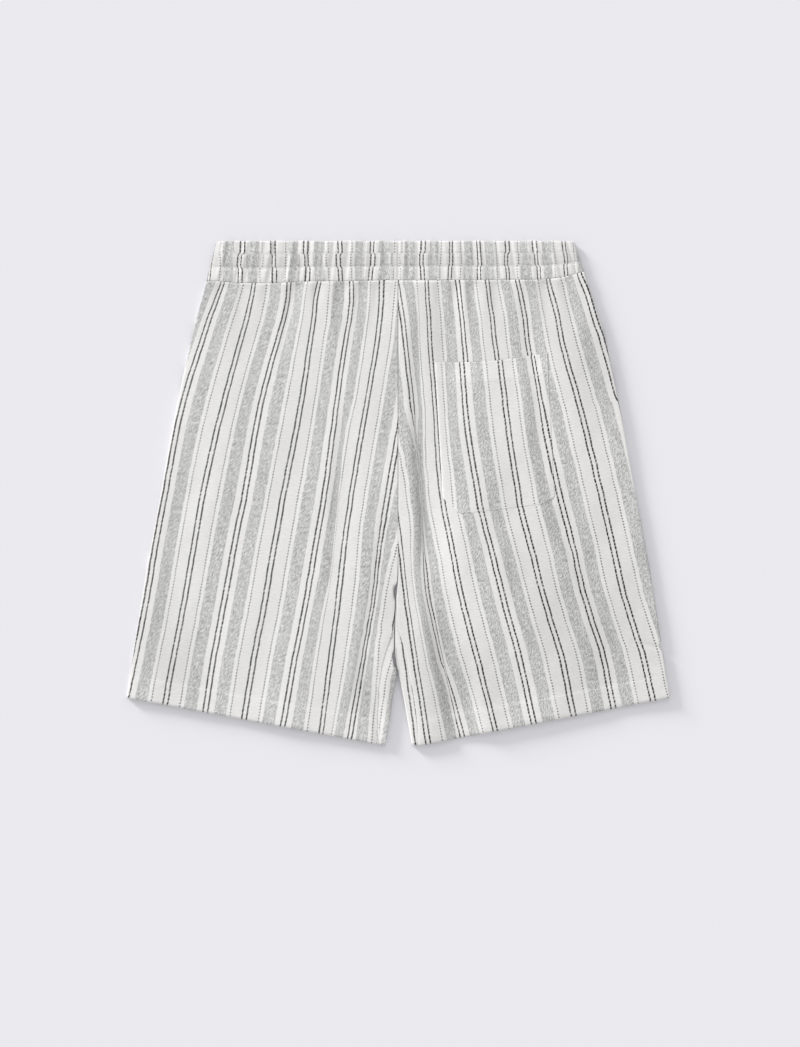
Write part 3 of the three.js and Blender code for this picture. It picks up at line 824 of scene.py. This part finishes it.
def band_shift(x, up):
    """How far the gathers push the stripes sideways, in each channel in its own way."""
    channel = smoothstep(up, STITCH_ROWS[0] - 0.03, STITCH_ROWS[0] + 0.03)
    channel = channel + smoothstep(up, STITCH_ROWS[1] - 0.03, STITCH_ROWS[1] + 0.03)
    jog = 1.1 * np.sin(x / 9 + 2.4 * channel + 2 * np.sin(x / 21))
    return jog + 0.9 * np.sin(x / 14 + 1.7 * channel) * np.sin(np.pi * (up - 0.2))


def band_relief(x, up, flat):
    """Gathers and channels on the waistband's outer face."""
    waves = np.zeros_like(x)
    for gather in BAND_GATHERS:
        swing = gather["phase"] + 0.9 * np.sin(x / 31 + gather["count"]) + 0.5 * np.sin(x / 13 + up * 1.5)
        waves += gather["rise"] * np.sin(np.pi * gather["count"] * x / flat + swing)
    channels = sum(np.exp(-(((up - row) / 0.035) ** 2)) for row in STITCH_ROWS)
    centre_seam = 0.9 * np.exp(-np.abs(x) / 1.0)
    at_seam = np.exp(-up / 0.05)
    relief = waves * (1 - 0.55 * channels) - 0.55 * channels - centre_seam
    return lerp(relief, WAIST_SEAM_Z - BAND_TOP_Z, at_seam)


def band_section():
    """Round the strip: share of the way up, extra height of the rounded edge, share of the depth."""
    section = [(up, 0.0, 0.0) for up in np.linspace(0, 1, SECTION["outer"] + 1)]
    for angle in np.linspace(0, math.pi, SECTION["edge"] + 1)[1:]:
        section.append((1.0, BAND_THICKNESS / 2 * math.sin(angle), (1 - math.cos(angle)) / 2))
    section += [(up, 0.0, 1.0) for up in np.linspace(1, 0, SECTION["inner"] + 1)[1:]]
    section.append(section[0])
    return np.array(section).T


def band_y(x, up, half_width, gap):
    """Where a point lies, from the waist seam to the top edge, which ripples and drops at its ends."""
    seam_y = lerp(WAIST_SEAM_Y["centre"], WAIST_SEAM_Y["side"], (x / half_width) ** 2) + gap
    seam_y = seam_y + waist_rise(x)
    drop = smoothstep(np.abs(x), half_width - 9, half_width)
    ripple = 0.25 * np.sin(x / 5.2 + 2 * np.sin(x / 23)) * up
    return lerp(seam_y, BAND_EDGE_Y - BAND_THICKNESS / 2 - drop, up) + ripple


def waistband():
    section = band_section()
    rows = section.shape[1] - 1
    columns = 2 * RING["back"] + 2 * RING["fold"] + RING["front"]
    # round the waist: right back, right fold, front, left fold, left back
    stops = np.cumsum([0, RING["back"], RING["fold"], RING["front"], RING["fold"], RING["back"]])

    def place(across, down):
        up, lift, depth = (part[np.rint(down * rows).astype(int)] for part in section)
        column = across * columns
        out = np.interp(column, stops, [0, 1, 1, -1, -1, -1e-9])
        turn = np.interp(column, stops, [0, 0, math.pi, math.pi, 0, 0])
        half_width = np.where(out < 0, lerp(*BAND_HALF["left"], up), lerp(*BAND_HALF["right"], up))
        flat = half_width - BAND_ROLL
        x_flat = out * flat
        x = x_flat + np.sign(out) * (BAND_ROLL - depth * BAND_THICKNESS) * np.sin(turn)
        half = BAND_TOP_Z / 2
        relief = band_relief(x_flat, up, flat) * (1 - depth)
        z = np.maximum(half + (half - depth * BAND_THICKNESS + relief) * np.cos(turn), 0)
        y = band_y(x, up, half_width, gap=0.12) + lift

        wiggle = band_shift(x_flat, up)
        right = band_pattern(np.maximum(x_flat, 0) + wiggle, up, "right")
        left = band_pattern(np.minimum(x_flat, 0) + wiggle, up, "left") + BAND_TURN
        arc = flat * (1 - out) + BAND_ROLL * turn
        arc = np.where(column > stops[3], 2 * flat + BAND_ROLL * (2 * math.pi - turn), arc)
        start = band_pattern(flat, up, "right")
        end = band_pattern(-flat, up, "left") + BAND_TURN
        round_front = lerp(start, end, arc / (2 * flat + 2 * math.pi * BAND_ROLL))
        u = np.where(column <= stops[1], right, np.where(column >= stops[4], left, round_front))
        v = (y - WAIST_SEAM_Y["centre"] + depth * 50) / HALF_REPEAT + 80
        # tone: the middle channel greyer than the outer ones, painted shade from the soft spots, and
        # painted shade on the left end's rounded edge
        outer_channels = smoothstep(np.abs(up - 0.5325), 0.157, 0.177)
        tone = lerp(-0.12, -0.015, outer_channels) + painted_shade_tone(x, y)
        return x, y, z, u, v, tone - 0.3 * smoothstep(-x, half_width - 4, half_width)

    return cloth_piece("waistband_cloth", columns, rows, place, thickness=0, closed=True)


WAISTBAND = waistband()

# %% [markdown]
# ## The back pocket
#
# The patch pocket is sewn onto the right back panel, so its cloth follows the panel's folds a
# little higher. Its mouth has a wide turned hem, and the other edges are turned under, which
# shows as a slightly raised border inside the stitching. Its stripes match the panel's.

# %% The back pocket
POCKET_CHAMFER = ((0.1625, -22.3), (0.875, -12.2))  # share of the way across, and y
POCKET_FACING = 20.8
POCKET_MOUTH_SAG = 3.9
POCKET_LIFT = 0.3
POCKET_THICKNESS = 0.25
POCKET_COLUMNS, POCKET_ROWS = 80, 110
POCKET_GUIDE_Y = np.array([-12.7, 66.8, 139.9])
POCKET_GUIDES = {1: (-4, 0, 4), 2: (42.7, 37.9, 33.7), 3: (86.7, 73.2, 66.8), 4: (128.7, 116.9, 107.9),
                 5: (173.6, 156.1, 143.4), 6: (218, 195, 179)}


def pocket_point(across, down):
    """The plan of the pocket: x and y at shares of the way across and down."""
    (mouth_x0, mouth_y0), (mouth_x1, mouth_y1) = POCKET_MOUTH
    (side_x0, side_y0), (side_x1, side_y1) = POCKET_SIDE_END
    x = lerp(lerp(mouth_x0, mouth_x1, across), lerp(side_x0, side_x1, across), down)
    mouth = lerp(mouth_y0, mouth_y1, across) - 4 * POCKET_MOUTH_SAG * across * (1 - across)
    shares = [0, POCKET_CHAMFER[0][0], POCKET_CHAMFER[1][0], 1]
    bottom = np.interp(across, shares, [side_y0, POCKET_CHAMFER[0][1], POCKET_CHAMFER[1][1], side_y1])
    return x, lerp(mouth, bottom, down)


def back_pocket():
    def place(across, down):
        x, y = pocket_point(across, down)
        from_mouth = down * POCKET_SIDE
        from_side = np.minimum(across, 1 - across) * POCKET_WIDTH
        from_edge = np.minimum(from_side, (1 - down) * POCKET_SIDE)
        facing = 1 - smoothstep(from_mouth, POCKET_FACING - 0.8, POCKET_FACING + 0.8)
        border = 0.08 * (1 - smoothstep(from_edge, 5.5, 7.5))
        stitched = 0.06 * np.exp(-(((from_edge - 1.8) / 0.9) ** 2))
        stitched += 0.2 * np.exp(-(((from_mouth - POCKET_FACING) / 1.1) ** 2))
        edge = 0.4 * np.exp(-from_edge / 1.6)
        gape = 0.4 * np.exp(-from_mouth / 6) * smoothstep(np.minimum(across, 1 - across), 0, 0.06)
        swell = 0.3 * np.sin(np.pi * across) * np.sin(np.pi * down)
        z = lay_height(x, y) + POCKET_LIFT + 0.25 * facing + border + gape + swell - stitched - edge
        u = across_pattern(POCKET_GUIDE_Y, POCKET_GUIDES, x, y, arc_length(x, y, z))
        v = (WAIST_SEAM_Y["side"] - y) / HALF_REPEAT + 60
        # the facing a little lighter where doubled; the turned edges lighter, partly doubled cloth and
        # partly painted light, strongest along the bottom; and painted shade along the mouth's very edge
        towards_bottom = (1 - down) * POCKET_SIDE < across * POCKET_WIDTH
        folded_edge_and_painted_light = np.where(towards_bottom, 0.14, 0.05) * np.exp(-from_edge / 1.5)
        tone = 0.07 * facing + folded_edge_and_painted_light * (1 - facing) + painted_shade_tone(x, y) - 0.15 * np.exp(-from_mouth)
        return x, y, z, u, v, tone

    return cloth_piece("back_pocket_cloth", POCKET_COLUMNS, POCKET_ROWS, place, POCKET_THICKNESS)


BACK_POCKET = back_pocket()

# %% [markdown]
# ## Stitching
#
# Every stitch is a small, slightly flattened bead of thread, sunk halfway into the cloth. Rows
# of them hold the hems, run twice round the waistband and go round the pocket, with a bar tack
# at each end of its mouth. There are hundreds, so one bead's points are worked out once, and
# all the stitches of a row are placed from arrays and joined into one mesh.

# %% Stitching
STITCH = {"pitch": 3.0, "length": 2.2, "width": 0.55, "height": 0.32}


SEWING_THREAD = Nodes("sewing_thread").finish({"Base Color": srgb(236, 235, 231), "Roughness": 0.8})
DEPSGRAPH = bpy.context.evaluated_depsgraph_get()
SURFACES = {}


def surface_height(piece, x, y, from_below=False):
    """Height of a piece's outer face over a point, in millimetres."""
    if piece.name not in SURFACES:
        SURFACES[piece.name] = BVHTree.FromObject(piece, DEPSGRAPH)
    start = Vector((x * MM, y * MM, -1.0 if from_below else 1.0))
    hit = SURFACES[piece.name].ray_cast(start, Vector((0, 0, -start.z)))[0]
    return None if hit is None else hit.z / MM


def stitch_row(piece, points, pitch=STITCH["pitch"], length=STITCH["length"], from_below=False):
    """Centre, direction and length of each stitch along a line of (x, y) points on a piece."""
    points = np.array(points, float)
    lengths = np.hypot(*np.diff(points, axis=0).T)
    along = np.concatenate([[0], np.cumsum(lengths)])
    stitches = []
    for at in np.arange(pitch / 2, along[-1], pitch):
        x, y = np.interp(at, along, points[:, 0]), np.interp(at, along, points[:, 1])
        ahead = np.interp(at + 0.5, along, points[:, 0]), np.interp(at + 0.5, along, points[:, 1])
        z = surface_height(piece, x, y, from_below)
        ahead_z = surface_height(piece, *ahead, from_below)
        if z is None or ahead_z is None:
            continue
        direction = np.array([ahead[0] - x, ahead[1] - y, ahead_z - z])
        stitches.append(((x, y, z), direction / np.linalg.norm(direction), length))
    return stitches


def bead():
    """Points and faces of one stitch, as a flattened ball of unit length."""
    bm = bmesh.new()
    bmesh.ops.create_uvsphere(bm, u_segments=8, v_segments=5, radius=0.5)
    bmesh.ops.rotate(bm, verts=bm.verts, matrix=Matrix.Rotation(math.pi / 2, 3, "Y"))
    points = np.array([vert.co[:] for vert in bm.verts])
    bm.verts.index_update()
    faces = [[vert.index for vert in face.verts] for face in bm.faces]
    bm.free()
    return points, faces


def stitches_mesh(name, stitches):
    """One mesh for a list of stitches."""
    bead_points, bead_faces = bead()
    points, faces = [], []
    for centre, forward, length in stitches:
        sideways = np.cross((0, 0, 1), forward)
        sideways /= np.linalg.norm(sideways)
        upward = np.cross(forward, sideways)
        axes = np.array([forward * length, sideways * STITCH["width"], upward * STITCH["height"]])
        first = len(points) * len(bead_points)
        faces += [[index + first for index in face] for face in bead_faces]
        points.append((bead_points @ axes + centre) * MM)
    mesh = bpy.data.meshes.new(name)
    mesh.from_pydata(np.concatenate(points).tolist(), [], faces)
    mesh.shade_smooth()
    mesh.materials.append(SEWING_THREAD)
    piece = add_object(name, mesh)
    print(f"{name}: {len(points)} stitches")
    return piece


def hem_line(hand, from_hem, front=False):
    """A line of points parallel to a leg's hem."""
    inner_column = "left_inner" if hand < 0 else "right_inner"
    points = []
    for out in np.linspace(0, 1, 80):
        down = 1 - from_hem / 470
        wrap = 0 if front or hand < 0 else level("wrap", down)
        inner = level(inner_column, down) + SEAM_GAP + wrap
        distance = lerp(inner + 0.6, level("side", down) - 1.2, out)
        y = panel_y(hand, (distance - inner) / (level("side", 1.0) - inner), 1.0)
        slope = math.hypot(1, (HEM_Y["side"] - HEM_Y["centre"]) / level("side", 1.0))
        points.append((hand * distance, y + from_hem * slope))
    return points


def band_line(up):
    """A line of points along the waistband, at a share of its height."""
    left, right = lerp(*BAND_HALF["left"], up) - 1.0, lerp(*BAND_HALF["right"], up) - 1.0
    return [(x, band_y(x, up, left if x < 0 else right, SEAM_GAP)) for x in np.linspace(-left, right, 200)]


def pocket_line(inset, shares):
    """Points just inside the pocket's edge, from (across, down) shares of its plan."""
    points = []
    for across, down in shares:
        margin = inset / POCKET_WIDTH
        x, y = pocket_point(lerp(margin, 1 - margin, across), down * (1 - inset / POCKET_SIDE))
        points.append((float(x), float(y)))
    return points


HEM_STITCH_HEIGHT = HEM_DEPTH - 1.5
hem_rows = []
for hand, back, front in ((-1, BACK_LEFT, FRONT_LEFT), (1, BACK_RIGHT, FRONT_RIGHT)):
    hem_rows += stitch_row(back, hem_line(hand, HEM_STITCH_HEIGHT))
    hem_rows += stitch_row(front, hem_line(hand, HEM_STITCH_HEIGHT, front=True), from_below=True)
HEM_STITCHES = stitches_mesh("hem_stitches", hem_rows)

band_rows = []
for share in STITCH_ROWS:
    for from_below in (False, True):
        band_rows += stitch_row(WAISTBAND, band_line(share), from_below=from_below)
WAISTBAND_STITCHES = stitches_mesh("waistband_stitches", band_rows)

CHAMFERED = [(0, down) for down in np.linspace(0, 1, 60)]
CHAMFERED += [(across, 1) for across in np.linspace(0, 1, 60)]
CHAMFERED += [(1, down) for down in np.linspace(1, 0, 60)]
UNDER_FACING = [(across, POCKET_FACING / POCKET_SIDE) for across in np.linspace(0, 1, 50)]
pocket_rows = stitch_row(BACK_POCKET, pocket_line(1.8, CHAMFERED))
pocket_rows += stitch_row(BACK_POCKET, pocket_line(1.8, UNDER_FACING))
for across in (0.0, 1.0):
    tack = pocket_line(2.2, [(across, 0.004), (across, 0.055)])
    pocket_rows += stitch_row(BACK_POCKET, tack, pitch=0.5, length=0.9)
POCKET_STITCHES = stitches_mesh("pocket_stitches", pocket_rows)

# %% [markdown]
# ## Floor, light and camera
#
# The shorts lie on a plain pale floor, under soft light that comes mostly from all round, with
# a broad lamp low on the upper left that picks out the folds and throws a faint shadow to the
# lower right. The camera looks straight down through a long lens.

# %% Floor, light and camera
CAMERA_AT = Vector((1.9, -31.8, 0.0)) * MM
CAMERA_HEIGHT = 2.6  # metres
VIEW_HEIGHT = 1.1098  # metres of floor from the picture's bottom to its top
FLOOR_COLOUR = srgb(235, 234, 239)


def floor():
    bm = bmesh.new()
    bmesh.ops.create_grid(bm, x_segments=1, y_segments=1, size=4)
    mesh = bpy.data.meshes.new("floor")
    bm.to_mesh(mesh)
    bm.free()
    paper = {"Base Color": FLOOR_COLOUR, "Roughness": 1.0, "Specular IOR Level": 0.0}
    mesh.materials.append(Nodes("floor_paper").finish(paper))
    piece = add_object("floor", mesh)
    piece.location = (0, 0, -0.3 * MM)
    return piece


def sun(name, azimuth, elevation, softness, strength):
    """A far lamp, which lights the whole floor evenly. Its angles are in degrees."""
    data = bpy.data.lights.new(name, "SUN")
    data.angle = math.radians(softness)
    data.energy = strength
    add_object(name, data).rotation_euler = (0, math.radians(90 - elevation), math.radians(azimuth))


FLOOR = floor()
sun("key", azimuth=138, elevation=13, softness=15, strength=3.1)
world = bpy.data.worlds.new("room")
world.use_nodes = True
world.node_tree.nodes["Background"].inputs["Color"].default_value = (1.0, 1.0, 1.0, 1.0)
world.node_tree.nodes["Background"].inputs["Strength"].default_value = 0.775
bpy.context.scene.world = world
bpy.context.scene.view_settings.view_transform = "Standard"

camera_data = bpy.data.cameras.new("camera")
camera_data.lens = camera_data.sensor_width * CAMERA_HEIGHT / VIEW_HEIGHT
camera = add_object("camera", camera_data)
camera.location = CAMERA_AT + Vector((0, 0, CAMERA_HEIGHT))
bpy.context.scene.camera = camera
print("camera lens:", round(camera_data.lens, 1))

# %% [markdown]
# ## What the pieces are
#
# Each piece of cloth stands for the solid of the same panel, and lies as it was laid. The flat
# sizes are those of the cloth that shows.

SHEETS = [
    # piece, solid, flat width and length, flat area
    (BACK_LEFT, "back_left_panel", (0.30, 0.52), 0.124),
    (BACK_RIGHT, "back_right_panel", (0.30, 0.52), 0.122),
    (FRONT_LEFT, "front_left_panel", (0.30, 0.52), 0.122),
    (FRONT_RIGHT, "front_right_panel", (0.31, 0.52), 0.126),
    (BACK_POCKET, "back_pocket", (0.120, 0.166), 0.0185),
    (WAISTBAND, "waistband", (0.943, 0.045), None),
]
for piece, node, flat_size, flat_area in SHEETS:
    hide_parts(node)
    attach(piece, "root")
for piece in (HEM_STITCHES, WAISTBAND_STITCHES, POCKET_STITCHES):
    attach(piece, "root")
